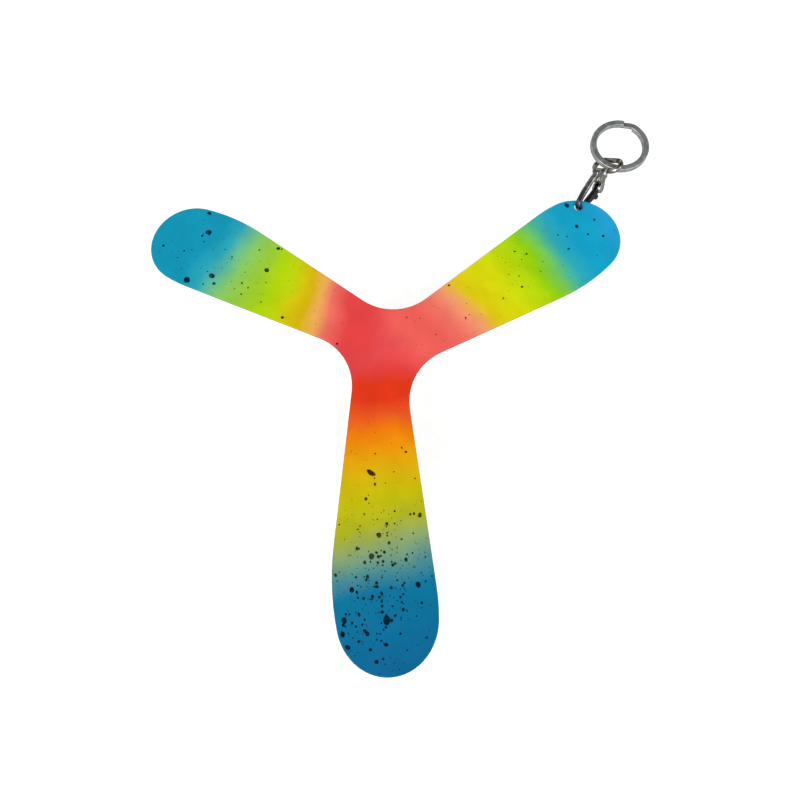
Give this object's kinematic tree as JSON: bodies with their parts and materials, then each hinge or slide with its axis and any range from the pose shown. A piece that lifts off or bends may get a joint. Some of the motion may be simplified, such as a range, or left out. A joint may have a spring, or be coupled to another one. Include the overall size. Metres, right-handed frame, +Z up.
{
  "type": "boomerang",
  "caption": "Flat multi-armed throwing toy cut from thin plastic sheet and airbrushed, with a sprung swivel clasp and a split key ring hooked through a hole near one tip.",
  "frame": {"origin": "the hub's centre on the blade's underside, where the three arms' centre lines meet", "axes": "+Z up out of the painted face; the arm with the clasp points 30 degrees from +X towards +Y, the plain arms point at 150 degrees and along -Y"},
  "size_m": [0.1639, 0.1625, 0.0097],
  "materials": {
    "painted_sheet": "satin airbrushed bands with fine dark spatter",
    "clasp_chrome": "bright cast zinc, chromed, lightly worn",
    "gate_steel": "bright, dark in reflection",
    "spring_steel": "bare drawn wire",
    "ring_steel": "dull nickel-plated, rubbed bright on its corners"
  },
  "bodies": {
    "blade": {"blade": "painted_sheet"},
    "claw": {"claw_body": "clasp_chrome", "gate_rivet": "clasp_chrome", "gate_spring": "spring_steel"},
    "gate": {"gate_lever": "gate_steel"},
    "eye": {"swivel_eye": "clasp_chrome"},
    "ring": {"key_ring": "ring_steel"}
  },
  "joints": [
    {"name": "claw_swing", "type": "hinge", "parent": "blade", "child": "claw", "pos_m": [0.06439, 0.04795, 0.0005], "axis": [0.7105, -0.5631, 0.422], "range_deg": [-105, 90]},
    {"name": "gate_open", "type": "hinge", "parent": "claw", "child": "gate", "pos_m": [0.0713, 0.05494, -0.0018], "axis": [-0.7105, 0.5631, -0.422], "range_deg": [0, 18], "stiffness_Nm_per_rad": 0.002, "springref_deg": -11.46, "deforming": ["gate_spring"]},
    {"name": "eye_swivel", "type": "hinge", "parent": "claw", "child": "eye", "pos_m": [0.06439, 0.04795, 0.0005], "axis": [0.601, 0.7975, 0.0523], "continuous": true},
    {"name": "ring_swing", "type": "hinge", "parent": "eye", "child": "ring", "pos_m": [0.07461, 0.06151, 0.00139], "axis": [-0.829, 0.5592, 0], "range_deg": [-90, 90]}
  ]
}
